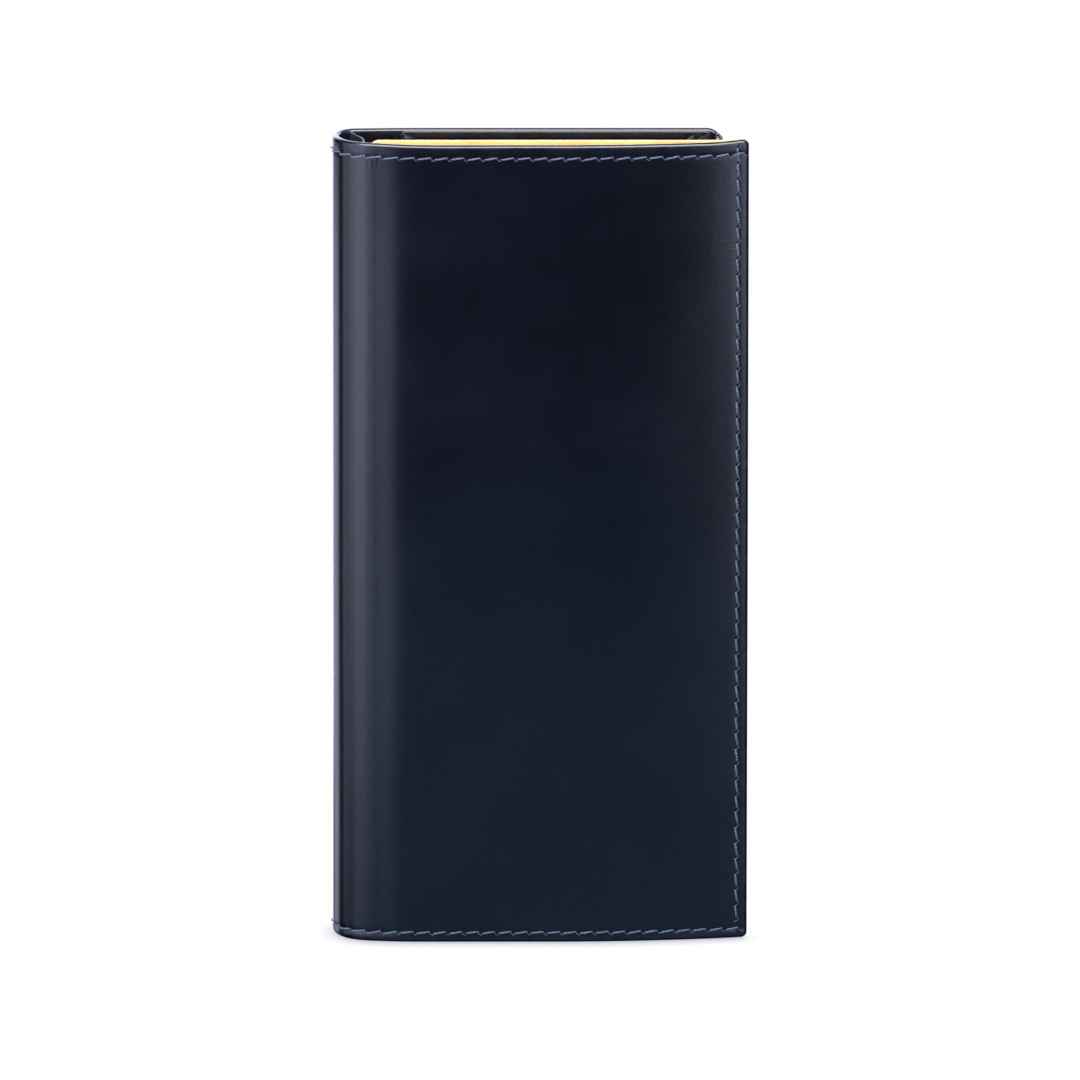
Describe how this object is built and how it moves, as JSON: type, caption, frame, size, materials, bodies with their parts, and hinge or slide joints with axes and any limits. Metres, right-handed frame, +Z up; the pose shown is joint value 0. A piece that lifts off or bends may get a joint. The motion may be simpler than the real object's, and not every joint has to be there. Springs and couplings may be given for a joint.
{
  "type": "long wallet",
  "caption": "Long bifold leather wallet with a bill pocket, card slots on both halves, a zipped coin purse and bellows gussets; the cover folds open about a rounded spine.",
  "frame": {"origin": "centre of the standing short end, at the bottom of the bounding box", "axes": "+Z up along the wallet's long side, -Y out of the front cover, -X at the spine and +X at the opening edge"},
  "size_m": [0.0966, 0.0162, 0.192],
  "materials": {
    "navy_leather": "smooth glazed calf leather, dark navy, semi-gloss with a fine pore grain",
    "navy_lining": "thin matte navy lining leather",
    "tan_leather": "natural vegetable-tanned leather, pale tan, smooth and lightly waxed",
    "zip_tape": "navy herringbone zip tape",
    "zip_metal": "polished pale nickel-brass",
    "thread": "waxed blue thread"
  },
  "bodies": {
    "back_half": {"back_cover": "navy_leather", "back_lining": "navy_lining", "outer_binding": "navy_leather", "rear_gusset_upper": "navy_lining", "rear_gusset_lower": "navy_lining"},
    "spine_rear": {"spine_rear_strip": "navy_leather"},
    "spine_middle": {"spine_middle_strip": "navy_leather", "spine_lining": "navy_lining"},
    "spine_front": {"spine_front_strip": "navy_leather"},
    "front_half": {"front_cover": "navy_leather", "front_lining": "tan_leather", "front_card_panel": "tan_leather", "front_card_slot_lower_1": "tan_leather", "front_card_slot_lower_2": "tan_leather", "front_card_slot_lower_3": "tan_leather", "front_card_slot_lower_4": "tan_leather", "front_card_slot_upper_1": "tan_leather", "front_card_slot_upper_2": "tan_leather", "front_card_slot_upper_3": "tan_leather", "front_card_slot_upper_4": "tan_leather"},
    "purse": {"purse_front_wall": "navy_leather", "purse_rear_wall": "navy_leather", "purse_outer_edge": "navy_leather", "front_gusset_upper": "navy_lining", "front_gusset_lower": "navy_lining", "zip_tape_front": "zip_tape", "zip_tape_rear": "zip_tape", "zip_teeth_front": "zip_metal", "zip_teeth_rear": "zip_metal", "zip_stop_upper": "zip_metal", "zip_stop_lower": "zip_metal"},
    "card_panel": {"back_card_panel": "tan_leather", "back_card_slot_lower_1": "tan_leather", "back_card_slot_lower_2": "tan_leather", "back_card_slot_lower_3": "tan_leather", "back_card_slot_lower_4": "tan_leather", "back_card_slot_upper_1": "tan_leather", "back_card_slot_upper_2": "tan_leather", "back_card_slot_upper_3": "tan_leather", "back_card_slot_upper_4": "tan_leather"},
    "slider": {"zip_slider": "zip_metal"},
    "pull": {"zip_pull": "zip_metal"}
  },
  "joints": [
    {"name": "fold_rear", "type": "hinge", "parent": "back_half", "child": "spine_rear", "pos_m": [-0.04453, 0.00759, 0.096], "axis": [0, 0, -1], "range_deg": [0, 45]},
    {"name": "fold_middle_rear", "type": "hinge", "parent": "spine_rear", "child": "spine_middle", "pos_m": [-0.04784, 0.00428, 0.096], "axis": [0, 0, -1], "range_deg": [0, 45], "deforming": ["spine_lining"]},
    {"name": "fold_middle_front", "type": "hinge", "parent": "spine_middle", "child": "spine_front", "pos_m": [-0.04754, -0.00188, 0.096], "axis": [0, 0, -1], "range_deg": [0, 45]},
    {"name": "fold_front", "type": "hinge", "parent": "spine_front", "child": "front_half", "pos_m": [-0.04213, -0.00729, 0.096], "axis": [0, 0, -1], "range_deg": [0, 45]},
    {"name": "purse_swing", "type": "hinge", "parent": "back_half", "child": "purse", "pos_m": [0.0394, 0.0035, 0.096], "axis": [0, 0, 1], "range_deg": [0, 8.1], "deforming": ["rear_gusset_upper", "rear_gusset_lower"]},
    {"name": "card_panel_swing", "type": "hinge", "parent": "purse", "child": "card_panel", "pos_m": [0.0394, 0.0013, 0.096], "axis": [0, 0, 1], "range_deg": [0, 8.1], "deforming": ["front_gusset_upper", "front_gusset_lower"]},
    {"name": "zip_slide", "type": "slide", "parent": "purse", "child": "slider", "axis": [0, 0, -1], "range_m": [0, 0.164]},
    {"name": "pull_swing", "type": "hinge", "parent": "slider", "child": "pull", "pos_m": [-0.03755, 0.0031, 0.17735], "axis": [0, 1, 0], "range_deg": [0, 7]}
  ],
  "couplings": [
    {"joint": "fold_middle_rear", "follows": "fold_rear", "ratio": 1},
    {"joint": "fold_middle_front", "follows": "fold_rear", "ratio": 1},
    {"joint": "fold_front", "follows": "fold_rear", "ratio": 1},
    {"joint": "purse_swing", "follows": "fold_rear", "ratio": 0.17778},
    {"joint": "card_panel_swing", "follows": "fold_rear", "ratio": 0.17778}
  ]
}
